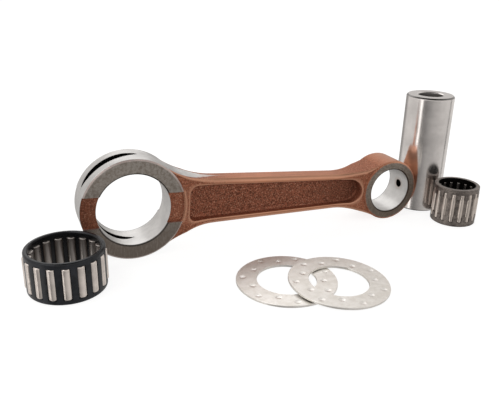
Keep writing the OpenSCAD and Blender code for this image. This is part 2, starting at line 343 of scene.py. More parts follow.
def mix(low, high, t):
    """The value t of the way from low to high, held at both ends."""
    return low + (high - low) * np.clip(t, 0, 1)


def resample(curve, count):
    """count points spaced evenly along a curve."""
    run = np.concatenate([[0], np.cumsum(np.linalg.norm(np.diff(curve, axis=0), axis=1))])
    at = np.linspace(0, run[-1], count)
    return np.stack([np.interp(at, run, curve[:, 0]), np.interp(at, run, curve[:, 1])], -1)


def outward(loop):
    """Unit normals of a clockwise closed loop in the XZ plane, pointing out of it."""
    ahead = np.roll(loop, -1, 0) - np.roll(loop, 1, 0)
    normal = np.stack([-ahead[:, 1], ahead[:, 0]], -1)
    return normal / np.linalg.norm(normal, axis=1)[:, None]


class ShankShape:
    """The shank's outline and thickness. Its half height is a straight taper with an arc
    into each end, and its half thickness swells to nearly the full width at each end."""

    def __init__(self, sizes):
        self.sizes = sizes
        self.big_h2, self.small_h2 = sizes.shank_big_h / 2, sizes.shank_small_h / 2
        self.big_r, self.small_r = RING_R - RING_SINK, EYE_R - RING_SINK
        big, small = sizes.big_flare_r, sizes.small_flare_r
        self.big_x = math.sqrt((self.big_r + big) ** 2 - (self.big_h2 + big) ** 2)
        small_run = math.sqrt((self.small_r + small) ** 2 - (self.small_h2 + small) ** 2)
        self.small_x = ROD_LENGTH - small_run
        self.start_x = self.big_x * self.big_r / (self.big_r + big)
        self.end_x = ROD_LENGTH - small_run * self.small_r / (self.small_r + small)
        self.swell_big, self.swell_small = 15 * MM, 13 * MM
        self.swell_big_x = RING_R + 16 * MM
        self.swell_small_x = ROD_LENGTH - EYE_R - self.swell_small

    def half_height(self, x):
        """Taper plus r - sqrt(r^2 - d^2) at the run d into each arc."""
        sizes = self.sizes
        into_big = np.maximum(0, self.big_x - x)
        into_small = np.maximum(0, x - self.small_x)
        taper = mix(self.big_h2, self.small_h2, (x - self.big_x) / (self.small_x - self.big_x))
        arcs = sizes.big_flare_r - np.sqrt(sizes.big_flare_r**2 - into_big**2)
        return taper + arcs + sizes.small_flare_r - np.sqrt(sizes.small_flare_r**2 - into_small**2)

    def half_width(self, x):
        """Square-law swell over the last stretch before each end."""
        into_big = np.maximum(0, self.swell_big_x - x) / self.swell_big
        into_small = np.maximum(0, x - self.swell_small_x) / self.swell_small
        half = self.sizes.shank_w / 2
        return mix(half, FLARE_Y, into_big**2) + mix(0, FLARE_Y - half, into_small**2)

    def outline(self, along, across):
        """Loop over the top, down inside the eye, back underneath and up inside the ring.
        Inside each end it follows an arc just under the end's face."""
        x = np.linspace(self.start_x, self.end_x, along)
        top = np.stack([x, self.half_height(x)], -1)
        ends = (
            (ROD_LENGTH, -(EYE_R - 0.7 * MM), 6 * MM, top[-1]),
            (0.0, RING_R - 0.62 * MM, 7.3 * MM, top[0]),
        )
        arcs = []
        for centre, radius, rise, corner in ends:
            reach = math.asin(rise / abs(radius))
            turn = np.linspace(reach, -reach, 60)
            arc = np.stack([centre + radius * np.cos(turn), abs(radius) * np.sin(turn)], -1)
            arcs.append(resample(np.concatenate([[corner], arc, [corner * FLIP]]), across + 1))
        right, left = arcs[0], arcs[1][::-1]
        under = top[::-1] * FLIP
        return np.concatenate([top[:-1], right[:-1], under[:-1], left[:-1]])

    def pocket(self, along, across):
        """Loop of the same number of points round the pocket: two round corners at the
        big end and one half circle at the small end, joined by straight walls."""
        sizes = self.sizes
        big_r = 3.5 * MM
        small_r = self.small_h2 - sizes.pocket_wall - 0.15 * MM
        big_at = np.array([RING_R + 2.5 * MM + big_r, self.big_h2 - sizes.pocket_wall - big_r])
        small_at = np.array([ROD_LENGTH - EYE_R - 0.9 * MM - small_r, 0.0])
        gap = small_at - big_at
        lean = math.atan2(gap[1], gap[0]) + math.asin((big_r - small_r) / np.linalg.norm(gap))
        up = math.pi / 2 + lean

        def arc(centre, radius, start, end):
            turn = np.linspace(start, end, 40)
            return centre + radius * np.stack([np.cos(turn), np.sin(turn)], -1)

        split_big, split_small = math.radians(135), math.radians(52)
        top = np.concatenate(
            [arc(big_at, big_r, split_big, up), arc(small_at, small_r, up, split_small)]
        )
        nose = arc(small_at, small_r, split_small, -split_small)
        corner = arc(big_at, big_r, math.pi, split_big)
        heel = np.concatenate([(corner * FLIP)[::-1], corner])
        loop = [resample(top, along)[:-1], resample(nose, across + 1)[:-1]]
        loop += [resample(top[::-1] * FLIP, along)[:-1], resample(heel, across + 1)[:-1]]
        return np.concatenate(loop)


def shank_mesh(sizes):
    """Half of the skin is one grid of closed loops from the outline at the middle plane,
    round the outer edge, across the flange, over the pocket's lip, down its wall and
    fillet to the web's centre line. The other half is its mirror image."""
    shape = ShankShape(sizes)
    along, across = 190, 60
    outline, pocket = shape.outline(along, across), shape.pocket(along, across)
    n_out, n_in = outward(outline), outward(pocket)
    count = len(outline)
    is_top = np.zeros(count, bool)
    is_top[: along - 1] = is_top[along - 1 + across : 2 * along - 2 + across] = True
    x = outline[:, 0]
    near_big = np.clip((x - shape.start_x) / (10 * MM), 0, 1)
    near_small = np.clip((shape.end_x - x) / (9 * MM), 0, 1)
    edge = mix(0.9, 2.3, (x - RING_R) / (16 * MM))
    edge = edge - mix(0, 0.8, (x - shape.swell_small_x) / (12 * MM))
    least = 0.18
    fade = (near_big * near_small) ** 0.8
    edge = np.where(is_top, least + (edge - least) * fade, least) * MM
    blur = np.ones(9) / 9
    edge = np.convolve(np.concatenate([edge[-4:], edge, edge[:4]]), blur, "valid")

    def ridge(points):
        off = np.hypot(points[:, 0], points[:, 1]) - (RING_R + 0.35 * MM)
        bead = RIDGE_H * np.exp(-((off / (0.6 * MM)) ** 2))
        bead = bead * np.clip((9 * MM - abs(points[:, 1])) / (2 * MM), 0, 1)
        return bead * (points[:, 0] < 0.5 * ROD_LENGTH)

    def height(points):
        return shape.half_width(points[:, 0]) + ridge(points)

    rows, recess, worn = [], [], []

    # Each row carries its recess and, as bright, its amount of painted highlight.
    def row(points, y, deep=0.0, bright=0.0):
        rows.append(np.stack([points[:, 0], y + 0 * points[:, 0], points[:, 1]], -1))
        recess.append(deep + np.zeros(count))
        worn.append(bright + np.zeros(count))

    rim = outline - n_out * edge[:, None]
    rim_y = height(rim)
    for t in np.linspace(0, 1, 5)[:-1]:
        row(outline, (rim_y - edge) * t)
    # Round the outer edge, with a painted highlight along its middle.
    for turn in np.radians(np.linspace(0, 90, 9))[:-1]:
        points = rim + n_out * (edge * math.cos(turn))[:, None]
        row(points, rim_y - edge * (1 - math.sin(turn)), 0, math.sin(2 * turn))
    lip_r, lip_end, fillet_r = 0.7 * MM, math.radians(80), sizes.pocket_fillet
    lip = pocket + n_in * lip_r
    # Across the flange, with a painted highlight on the raised ridge bead.
    for t in (0, 0.05, 0.1, 0.15, 0.2, 0.26, 0.34, 0.5, 0.7, 0.88):
        points = rim + (lip - rim) * t
        row(points, height(points), 0, ridge(points) / RIDGE_H)
    lip_y = height(lip)
    # Over the pocket's lip, with a painted highlight along it.
    for turn in np.linspace(0, lip_end, 7):
        points = lip - n_in * lip_r * math.sin(turn)
        highlight = math.cos(turn - math.radians(25)) ** 4
        row(points, lip_y - lip_r * (1 - math.cos(turn)), 0.1 * math.sin(turn), highlight)
    web, draft = sizes.web_w / 2, 0.16
    lip_run = lip_r * math.sin(lip_end)
    wall_top = lip_y - lip_r * (1 - math.cos(lip_end))
    wall_run = draft * (wall_top - web - fillet_r)
    for t in np.linspace(0, 1, 5)[1:]:
        foot = lip - n_in * (lip_run + wall_run * t)[:, None]
        row(foot, wall_top + (web + fillet_r - wall_top) * t, 0.25 + 0.45 * t)
    for turn in np.radians(np.linspace(0, 90, 7))[1:]:
        deep = 0.7 + 0.3 * math.sin(turn)
        points = foot - n_in * fillet_r * (1 - math.cos(turn))
        row(points, web + fillet_r * (1 - math.sin(turn)), deep)
    floor = foot - n_in * fillet_r
    spine_x = np.clip(floor[:, 0], pocket[:, 0].min() + 4.2 * MM, pocket[:, 0].max() - 6.2 * MM)
    spine = np.stack([spine_x, 0 * spine_x], -1)
    for t in np.linspace(0, 1, 9)[1:]:
        row(floor + (spine - floor) * t, web, 1.0)

    def close(values):
        return np.concatenate([values, values[:, :1]], 1)

    skin = close(np.stack(rows))
    marks = {"recess": [close(np.stack(recess))] * 2, "worn": [close(np.stack(worn))] * 2}
    return weld("rod_shank", [lay_over(side) for side in both_sides(skin)], 40, marks)


# ---------------------------------------------------------------- loose pieces


def turned_box(node):
    """The axis (x, y), radius, bottom and top of an upright turned piece, from its CAD
    node's box."""
    low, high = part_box(node)
    axis = ((low.x + high.x) / 2, (low.y + high.y) / 2)
    return axis, (high.x - low.x) / 2, low.z, high.z


def crank_pin_mesh(sizes):
    """Ring-shaped profile with chamfered edges turned about the pin's axis. end holds the
    corners of one end, each with its height from that end and its rounding in millimetres."""
    axis, r, low, high = turned_box("crank_pin")
    hole, c, h = sizes.pin_hole_d / 2, sizes.pin_chamfer, 0.5 * MM
    end = [(hole, h, 0.15), (hole + h, 0, 0.15), (r - c, 0, 0.12), (r, c, 0.30)]
    up = [(x, low + z, soft) for x, z, soft in end]
    down = [(x, high - z, soft) for x, z, soft in end[::-1]]
    seam = (hole, low + 9 * MM, 0)
    path = np.array([seam, *up, (r, (low + high) / 2, 0), *down, seam])
    profile = rounded(path[:, :2], path[:, 2] * MM)
    return weld("crank_pin", [lathe(profile, 256, axis)], 50)


def big_cage_profile():
    """Half section of the big end's cage: a plain ring with rounded chamfers, from its bore
    at the windows' floor round the outside to the bore at their ceiling."""
    w, r, b, c = 17.8 * MM, 16.0 * MM, BIG_CAGE_BORE_R, 0.5 * MM
    low, high = BIG_WINDOW
    corners = [(b, low), (b, c), (b + c, 0), (r - c, 0), (r, c), (r, low)]
    corners += [(r, high), (r, w - c), (r - c, w), (b + c, w), (b, w - c), (b, high)]
    soft = 0.3 * MM
    return rounded(corners, [0, 0, 0, soft, soft, 0, 0, soft, soft, 0, 0, 0], 3)


def small_cage_profile():
    """Half section of the small end's cage: a ring whose bars are waisted outside."""
    w, r, b, c = 20.0 * MM, 11.35 * MM, SMALL_CAGE_BORE_R, 0.25 * MM
    low, high = SMALL_WINDOW
    waist, run = 0.6 * MM, 2.6 * MM
    slope = np.linspace(0, waist, 5)
    profile = [(b, low), (b, 0), (r - c, 0), (r, c), (r, low)]
    profile += [(r - d, low + run + d) for d in slope]
    profile += [(r - d, high - run - d) for d in slope[::-1]]
    return profile + [(r, high), (r, w - c), (r - c, w), (b, w), (b, high)]


def named(start):
    """The CAD nodes whose names begin so, in their numbers' order."""
    nodes = [name for name in frame["nodes"] if name.startswith(start)]
    return sorted(nodes, key=lambda name: int(name.rsplit("_", 1)[1]))


def cage_mesh(node, rollers, profile, inner_r, seat, lip, window):
    """A turned ring with one window for each roller. Each column's angle at radius r is
    a + b asin(w / r). The window's half width w follows the roller's round seat, where
    w^2 = r^2 - ((r^2 + p^2 - seat^2) / 2p)^2 for the pitch radius p, out to a straight lip.
    Cells inside a window are left out, and its floor, ceiling and two sides are grids
    between the outer and the inner wall."""
    axis, _, base_z, _ = turned_box(node)
    seats = np.array([turned_box(name)[0] for name in rollers]) - np.array(axis)
    phase = np.sort(np.arctan2(seats[:, 1], seats[:, 0]))
    pitch_r = np.hypot(*seats[0])
    share = 2 * np.pi / len(rollers)
    across = np.linspace(-1, 1, 9)
    bar = np.linspace(0, 1, 7)[1:-1]
    starts = phase[0] + share * np.arange(len(rollers))[:, None]
    a = (starts + np.concatenate([0 * across, share * bar])).ravel()
    b = np.tile(np.concatenate([across, 1 - 2 * bar]), len(rollers))
    a, b = np.append(a, phase[0] + 2 * np.pi), np.append(b, -1.0)
    in_window = np.tile(np.arange(len(across) + len(bar)) < len(across) - 1, len(rollers))

    def half(r):
        along = (r**2 + pitch_r**2 - seat**2) / (2 * pitch_r)
        seat_half = np.sqrt(np.maximum(0, r**2 - along**2))
        return np.where(r > pitch_r, np.maximum(seat_half, lip), seat_half)

    def at(r, z, cols=slice(None)):
        turn = a[cols] + b[cols] * np.arcsin(half(r) / r)
        x, y = axis[0] + r * np.cos(turn), axis[1] + r * np.sin(turn)
        return np.stack([x, y, z + 0 * turn], -1)

    radii, heights = np.asarray(profile).T
    heights = heights + base_z
    floor_z, ceiling_z = base_z + window[0] - HAIR, base_z + window[1] + HAIR
    inner_z = np.unique(np.round(heights[(heights >= floor_z) & (heights <= ceiling_z)], 9))
    is_outer = radii > inner_r + 0.4 * MM
    outer = np.stack([at(r + 0 * a, z) for r, z in zip(radii, heights)])
    within = (heights[:-1] >= floor_z) & (heights[1:] <= ceiling_z) & is_outer[:-1]
    inner = np.stack([at(inner_r + 0 * a, z) for z in inner_z])
    inner_cells = np.ones((len(inner_z) - 1, len(a) - 1), bool) & ~in_window
    patches = [(outer, ~(within[:, None] & in_window)), (inner, inner_cells)]
    in_wall = np.linspace(0, 1, 11)
    outer_at = dict(zip(np.round(heights[is_outer], 9), radii[is_outer]))
    rim_r = np.array([outer_at[z] for z in inner_z])
    for start in np.flatnonzero(in_window & ~np.roll(in_window, 1)):
        cols = slice(start, start + len(across))
        for z, r in ((inner_z[0], rim_r[0]), (inner_z[-1], rim_r[-1])):
            patches.append(np.stack([at(r + (inner_r - r) * t, z, cols) for t in in_wall]))
        for side in (start, start + len(across) - 1):
            col = slice(side, side + 1)
            wall = [
                [at(r + (inner_r - r) * t, z, col)[0] for t in in_wall]
                for z, r in zip(inner_z, rim_r)
            ]
            patches.append(np.array(wall))
    return weld(node, patches, 35)


def roller_mesh(node, end_round):
    """A straight roller with rounded ends: a profile turned about its axis."""
    axis, r, low, high = turned_box(node)
    c, soft = end_round, end_round * 0.98
    corners = [(0, low), (r, low), (r, low + c), (r, high - c), (r, high), (0, high)]
    profile = rounded(corners, [0, soft, 0, 0, soft, 0], 5)
    return weld(node, [lathe(profile, 40, axis)], 50)


def washer_mesh(name, mount, turn, sizes):
    """Flat ring whose top is lowered by depth (1 - (d / dimple radius)^2) at the distance d
    from the middle of the nearest oil dimple, then leant over about its own centre."""
    low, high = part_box("thrust_washer_1")
    outer, hole, thick = (high.x - low.x) / 2, mount["dims"]["r_mm"] * MM, high.z - low.z
    up = Vector(mount["axis"])
    up = up if up.z > 0 else -up
    edge, burr, half = 0.15 * MM, 0.05 * MM, thick / 2
    top_r = np.linspace(outer - edge, hole + burr, 60)
    bottom = [(hole + burr, -half), (outer - edge, -half)]
    wall = [bottom[1], (outer, edge - half), (outer, 0), (outer, half - edge), (top_r[0], half)]
    top = np.stack([top_r[1:], 0 * top_r[1:] + half], -1)
    bore = [(hole, half - burr), (hole, burr - half), bottom[0]]
    grid = lathe(np.concatenate([bottom[:1], rounded(wall, 0.06 * MM, 2), top, bore]), 640)
    x, y, z = np.moveaxis(grid, -1, 0)
    ring_r, stagger = (outer + hole) / 2, (outer - hole) * 0.17
    radius = sizes.dimple_d / 2
    cup = 0 * x
    for i in range(DIMPLES):
        angle = math.radians(turn + 360 * i / DIMPLES)
        r = ring_r + (stagger if i % 2 == 0 else -stagger)
        apart = (x - r * math.cos(angle)) ** 2 + (y - r * math.sin(angle)) ** 2
        cup = np.maximum(cup, 1 - apart / radius**2)
    cup = np.where(z > half - HAIR, cup, 0)
    grid[..., 2] = z - sizes.dimple_depth * cup
    is_level = up.z > 0.99999
    heading = 0.0 if is_level else math.atan2(up.y, up.x)
    side = Vector((-math.sin(heading), math.cos(heading), 0))
    basis = np.array([side.cross(up), side, up])
    grid = np.array(mount["pos_m"]) + grid @ basis
    return weld(name, [grid], 30, {"dimple": [np.clip(cup * 2.5, 0, 1)]})


# ---------------------------------------------------------------- finishes


class Field:
    """A shader output that takes part in sums. Each operator adds one Math node."""

    def __init__(self, finish, socket):
        self.finish, self.socket = finish, socket

    def math(self, operation, *others):
        return self.finish.add("ShaderNodeMath", {"operation": operation}, [self, *others])

    def __add__(self, other):
        return self.math("ADD", other)

    def __sub__(self, other):
        return self.math("SUBTRACT", other)

    def __mul__(self, other):
        return self.math("MULTIPLY", other)

    def __rsub__(self, other):
        return self.finish.add("ShaderNodeMath", {"operation": "SUBTRACT"}, [other, self])

    __radd__, __rmul__ = __add__, __mul__


class Finish:
    """A material whose nodes are written as Python."""

    def __init__(self, name):
        self.material = bpy.data.materials.new(name)
        self.material.use_nodes = True
        self.tree = self.material.node_tree
        self.tree.nodes.clear()
        self.output = self.tree.nodes.new("ShaderNodeOutputMaterial")
        position = self.add("ShaderNodeTexCoord", output="Object")
        self.mm = self.vector("SCALE", position, scale=1 / MM)

    def add(self, kind, settings=None, inputs=(), output=0):
        """Adds a node, makes its settings, then fills its sockets with values or links."""
        node = self.tree.nodes.new(kind)
        for name, value in (settings or {}).items():
            setattr(node, name, value)
        pairs = inputs.items() if isinstance(inputs, dict) else enumerate(inputs)
        for key, value in pairs:
            socket = node.inputs[key]
            if isinstance(value, Field):
                self.tree.links.new(value.socket, socket)
            elif hasattr(socket.default_value, "__len__") and len(socket.default_value) == 4:
                socket.default_value = (*value[:3], 1)
            else:
                socket.default_value = value
        return Field(self, node.outputs[output])

    def vector(self, operation, *values, scale=None):
        """Vector Math, whose lengths and distances come out of its second output."""
        inputs = dict(enumerate(values))
        if scale is not None:
            inputs["Scale"] = scale
        out = 1 if operation in ("LENGTH", "DISTANCE") else 0
        return self.add("ShaderNodeVectorMath", {"operation": operation}, inputs, out)

    def noise(self, per_mm, detail=2.0, rough=0.5, at=None):
        """Noise with that many features in a millimetre."""
        inputs = {"Vector": at or self.mm, "Scale": per_mm, "Detail": detail, "Roughness": rough}
        return self.add("ShaderNodeTexNoise", None, inputs, "Fac")

    def rise(self, value, low, high):
        """0 below low, 1 above high and a smooth step between."""
        return self.add(
            "ShaderNodeMapRange",
            {"interpolation_type": "SMOOTHSTEP"},
            {"Value": value, "From Min": low, "From Max": high},
        )

    def blend(self, factor, low, high):
        """Colour mix."""
        settings = {"data_type": "RGBA"}
        inputs = {"Factor": factor, 6: low, 7: high}
        return self.add("ShaderNodeMix", settings, inputs, 2)

    def shade(self, low, high, factor):
        """A number mixed from low to high."""
        return low + (high - low) * factor

    def mark(self, name):
        """A value that the mesh carries on its points."""
        return self.add("ShaderNodeAttribute", {"attribute_name": name}, output="Fac")

    def parts(self, vector):
        """The three parts of a vector."""
        node = self.add("ShaderNodeSeparateXYZ", None, [vector]).socket.node
        return [Field(self, socket) for socket in node.outputs]

    def stretch(self, x, y, z):
        """Position in millimetres, scaled along each axis."""
        return self.vector("MULTIPLY", self.mm, (x, y, z))

    def close(self, colour, roughness, metallic=1.0, height=None, depth_mm=0.05, **more):
        """Ends the material in a Principled shader, with height as its bump."""
        inputs = {"Base Color": colour, "Roughness": roughness, "Metallic": metallic, **more}
        if height is not None:
            bump = {"Height": height, "Distance": depth_mm * MM, "Strength": 1.0}
            inputs["Normal"] = self.add("ShaderNodeBump", None, bump)
        surface = self.add("ShaderNodeBsdfPrincipled", None, inputs)
        self.tree.links.new(surface.socket, self.output.inputs["Surface"])
        return self.material


def tone(tint, *factors):
    """A tint times one factor, or times one for each of red, green and blue."""
    return [min(1, part * factor) for part, factor in zip(tint, factors * 3)]


def plating(finish, colours, recess, worn=None):
    """Copper plate over a shot-blasted forging: satin on the flanges, darker and grainy in
    hollows, with sparse dark pits and painted glints and, where a painted highlight amount is
    given, painted highlights. Returns colour, roughness and height."""
    dark_tint, tint = colours.copper_dark, colours.copper
    coarse = finish.noise(1.5, 3.0, 0.7)
    fine = finish.noise(3.6, 2.0, 0.6)
    cloud = finish.noise(0.13, 3.0, 0.55)
    grain = finish.rise(coarse, 0.36, 0.66)
    pit = finish.rise(finish.noise(0.9, 2.0, 0.6), 0.58, 0.68)
    glint = finish.rise(finish.noise(1.7, 1.0, 0.5), 0.58, 0.68)
    smooth = finish.blend(cloud, tone(tint, 0.80), tone(tint, 1.12))
    streak = finish.rise(finish.noise(1.0, 3.0, 0.65, finish.stretch(0.12, 1.0, 1.0)), 0.42, 0.62)
    smooth = finish.blend(grain * 0.34, smooth, tone(tint, 0.60))
    smooth = finish.blend(streak * 0.26, smooth, tone(tint, 1.45))
    blasted = finish.blend(grain, tone(dark_tint, 0.48), tone(dark_tint, 1.55))
    colour = finish.blend(recess, smooth, blasted)
    colour = finish.blend(pit * finish.shade(0.12, 0.60, recess), colour, tone(dark_tint, 0.30))
    # Painted glints: bright specks, most of them on the grainy hollows.
    colour = finish.blend(glint * finish.shade(0.08, 0.62, recess), colour, (0.74, 0.42, 0.29))
    rough = finish.shade(0.42, 0.62, recess) + fine * 0.12
    # Painted highlight, with a lower roughness where it is strong.
    if worn is not None:
        colour = finish.blend(worn * 0.6, colour, (0.76, 0.43, 0.29))
        rough = rough - worn * 0.10
    height = (coarse + fine * 0.5) * finish.shade(0.16, 1.0, recess) - pit * 0.4
    return colour, rough, height


def bare_metal(finish, tint, lines):
    """Turned or honed steel: fine lines with faint clouds. Returns colour and roughness."""
    cloud = finish.rise(finish.noise(0.14, 3.0, 0.6), 0.3, 0.7)
    colour = finish.blend(cloud, tone(tint, 0.86), tone(tint, 1.08))
    colour = finish.blend(finish.rise(lines, 0.50, 0.72) * 0.22, colour, tone(tint, 0.62))
    return colour, 0.25 + lines * 0.16 + cloud * 0.08


def turning_lines(finish):
    """Fine lines that run round a bore whose axis lies along Y."""
    return finish.noise(1.0, 2.0, 0.6, finish.stretch(0.02, 7.0, 0.02))


def ground_pad(finish, tint, up, outer, mottle):
    """Colour of a ground side face: painted shade darkens it towards its bottom, and it is mottled
    and faintly wiped.
    """
    low, high = tone(tint, 0.58, 0.54, 0.51), tone(tint, 1.30)
    wipe = finish.rise(finish.noise(1.0, 2.0, 0.5, finish.stretch(2.6, 1.0, 0.5)), 0.45, 0.75)
    # Painted shade: darker towards the bottom of the face, lighter towards its top.
    colour = finish.blend(finish.rise(up, -1.1 * outer, 0.9 * outer), low, high)
    colour = finish.blend(mottle * 0.70, colour, tone(tint, 0.62, 0.55, 0.50))
    return finish.blend(wipe * 0.20, colour, tone(tint, 1.6))


def rod_finish(name, centre, outer_r, bore_r, colours, pad, plated_rim):
    """Finish of one end of the rod, by distance from its bore's axis and from the middle
    plane, both in millimetres: mottled ground faces with painted shade towards their bottoms,
    painted shade on the bore chamfer and inside the slot or oil hole, honed bore, plated
    channel and step with painted shade over the far part of the big end's, a painted
    highlight on top of the small end, and a rim that is either turned bright or plated."""
    finish = Finish(name)
    away = finish.vector("SUBTRACT", finish.mm, tuple(part / MM for part in centre))
    radius = finish.vector("LENGTH", finish.vector("MULTIPLY", away, (1, 0, 1)))
    ahead, sideways, up = finish.parts(away)
    across = sideways.math("ABSOLUTE")
    outer, bore = outer_r / MM, bore_r / MM
    face, rim = FACE_Y / MM, RIM_Y / MM
    ragged = finish.noise(1.3, 3.0, 0.7)
    patch = finish.noise(0.5, 1.0)
    mottle = finish.rise(finish.noise(0.8, 4.0, 0.7), 0.34, 0.66)
    turned = turning_lines(finish)
    steel, steel_rough = bare_metal(finish, colours.bare_steel, turned)
    on_face = finish.rise(across, face - 0.09, face - 0.03)
    past_bore = finish.rise(radius, bore + 0.02, bore + 0.10)
    inside_rim = 1 - finish.rise(radius, outer - 0.12, outer - 0.04)
    # Painted shade: a dark band along the bore chamfer, out onto the face and into the bore.
    chamfer = finish.rise(across, face - 0.75, face - 0.55)
    chamfer = chamfer * (1 - finish.rise(radius, bore + 0.50, bore + 0.62))
    band = past_bore * inside_rim * (1 - on_face)
    # The walls inside the slot or oil hole, which get painted shade.
    opening = band * (1 - finish.rise(across, 0.55 * face, 0.65 * face))
    if plated_rim:
        toward_tip = finish.rise(ahead, -0.7 * outer, 0.35 * outer)
        # Painted highlight over the top of the small end, fading towards the shank.
        highlight = finish.rise(up, 0.25 * outer, outer) * toward_tip * 0.7
        recess = finish.shade(0.60, 0.05, toward_tip) * finish.shade(0.75, 1.25, patch)
        kept = 1 - finish.rise(radius + ragged * 4.0, outer + 1.05, outer + 1.35)
        on_face = on_face * kept
        is_copper = band.math("MAXIMUM", 1 - inside_rim)
        is_copper = is_copper.math("MAXIMUM", past_bore * (1 - on_face))
        lean = OIL_TURN - ROD_TIP
        oil_hole = (bore * math.cos(lean), 0, bore * math.sin(lean))
        near_oil = finish.vector("DISTANCE", away, oil_hole)
        stain = (1 - finish.rise(near_oil + ragged * 2.0, 3.0, 5.4)) * (1 - past_bore)
        steel = finish.blend(stain * 0.35, steel, (0.30, 0.20, 0.13))
        copper, copper_rough, grain = plating(finish, colours, recess, highlight)
    else:
        cone = finish.rise(across, rim - 0.3, rim)
        is_copper = band * (1 - 0.62 * cone)
        # Painted shade over the far part of the big end's channel.
        far_shade = 1 - finish.rise(ahead, -outer, -0.3 * outer)
        copper, copper_rough, grain = plating(finish, colours, finish.shade(0.62, 1.0, patch))
        copper = finish.blend(far_shade * 0.42, copper, tone(colours.copper_dark, 0.4))
    colour = finish.blend(is_copper, steel, copper)
    colour = finish.blend(on_face, colour, ground_pad(finish, pad, up, outer, mottle))
    # Painted shade on the bore chamfer.
    colour = finish.blend(chamfer * 0.9, colour, (0.03, 0.027, 0.024))
    # Painted shade: the walls of the slot or oil hole are painted nearly black.
    colour = finish.blend(opening, colour, (0.006, 0.006, 0.006))
    rough = steel_rough + (copper_rough - steel_rough) * is_copper
    rough = rough + (0.38 + mottle * 0.16 - rough) * on_face
    height = grain * is_copper + (turned * 0.10 + mottle * 0.08) * (1 - is_copper)
    return finish.close(colour, rough, 1.0, height, 0.06)


def shank_finish(colours):
    """Plating, which the turning of the big end's rim has cut through at the flares."""
    finish = Finish("plated_shank")
    # The second mark holds painted highlights on the edges, the ridge and the pocket lip.
    recess, worn = finish.mark("recess"), finish.mark("worn")
    x, y = finish.parts(finish.mm)[:2]
    blasted = 0.75 * (1 - finish.rise(x, 26.0, 62.0)) + 0.60 * finish.rise(x, 98.0, 120.0)
    copper, rough, height = plating(finish, colours, recess.math("MAXIMUM", blasted), worn)
    deep = recess * finish.rise(x, 84.0, 118.0)
    copper = finish.blend(deep * 0.45, copper, tone(colours.copper_dark, 0.35))
    cloud = finish.noise(0.35, 3.0, 0.6)
    start = 1 - finish.rise(x + cloud * 9.0, 32.0, 56.0)
    outside = 1 - finish.rise(recess, 0.0, 0.05)
    edge_y = 6.7 - 6.4 * finish.rise(x + cloud * 6.0, 22.0, 46.0)
    middle = 1 - finish.rise(y.math("ABSOLUTE") - edge_y, -0.8, 0.6)
    steel, steel_rough = bare_metal(finish, colours.bare_steel, turning_lines(finish))
    bare = start * outside * middle
    colour = finish.blend(bare, copper, steel)
    roughness = rough + (steel_rough - rough) * bare
    return finish.close(colour, roughness, 1.0, height * (1 - bare), 0.06)


def crank_pin_finish(colours, sizes):
    """Polished steel with fine grinding lines round it and painted shade inside its drilled hole.
    """
    finish = Finish("polished_pin")
    tint = colours.pin_steel
    _, outer, low, high = turned_box("crank_pin")
    middle, half, chamfer = (low + high) / 2 / MM, (high - low) / 2 / MM, sizes.pin_chamfer / MM
    outside = outer_wall(finish, "crank_pin", sizes.pin_hole_d / 2 - 0.1 * MM, 0.3 * MM)
    rim = outer_wall(finish, "crank_pin", outer - (chamfer + 0.04) * MM, 0.08 * MM)
    along = (finish.parts(finish.mm)[2] - middle).math("ABSOLUTE")
    end = finish.rise(along, half - 0.12, half - 0.04)
    on_chamfer = finish.rise(along, half - chamfer - 0.06, half - chamfer) * rim
    lines = finish.noise(1.0, 3.0, 0.6, finish.stretch(0.03, 0.03, 9.0))
    cloud = finish.rise(finish.noise(0.08, 3.0, 0.6), 0.3, 0.7)
    colour = finish.blend(cloud, tone(tint, 0.86), tone(tint, 1.06))
    colour = finish.blend(finish.rise(lines, 0.48, 0.70) * 0.18, colour, tone(tint, 0.68))
    colour = finish.blend(end, colour, tone(tint, 0.66))
    colour = finish.blend(on_chamfer, colour, tone(tint, 0.22))
    # Painted shade on the hole's inner wall.
    colour = finish.blend(outside, tone(tint, 0.16), colour)
    rough = 0.11 + lines * 0.10 + cloud * 0.05 + 0.25 * (1 - outside) + 0.12 * end
    return finish.close(colour, rough, 1.0, lines, 0.001)


def outer_wall(finish, node, inner_r, thick):
    """0 on a ring's inner wall, 1 on the outside, by distance from its upright axis."""
    (x, y), *_ = turned_box(node)
    centre = (x / MM, y / MM, 0)
    away = finish.vector("MULTIPLY", finish.vector("SUBTRACT", finish.mm, centre), (1, 1, 0))
    return finish.rise(finish.vector("LENGTH", away), inner_r / MM + 0.03, (inner_r + thick) / MM)


def black_cage_finish(colours):
    """Satin black oxide with faint clouds and painted shade on the inner wall."""
    finish = Finish("black_oxide")
    cloud = finish.rise(finish.noise(0.22, 3.0, 0.6), 0.3, 0.7)
    grain = finish.noise(4.0, 2.0, 0.6)
    outside = outer_wall(finish, "big_end_cage", BIG_CAGE_BORE_R, 0.5 * MM)
    tint = colours.black_cage
    colour = finish.blend(cloud, tone(tint, 0.6), tone(tint, 1.5))
    # Painted shade on the inner wall.
    colour = finish.blend(outside, tone(tint, 0.35), colour)
    rough = 0.20 + cloud * 0.14 + grain * 0.06
    return finish.close(colour, rough, 0.30, grain, 0.006, **{"Specular IOR Level": 0.40})


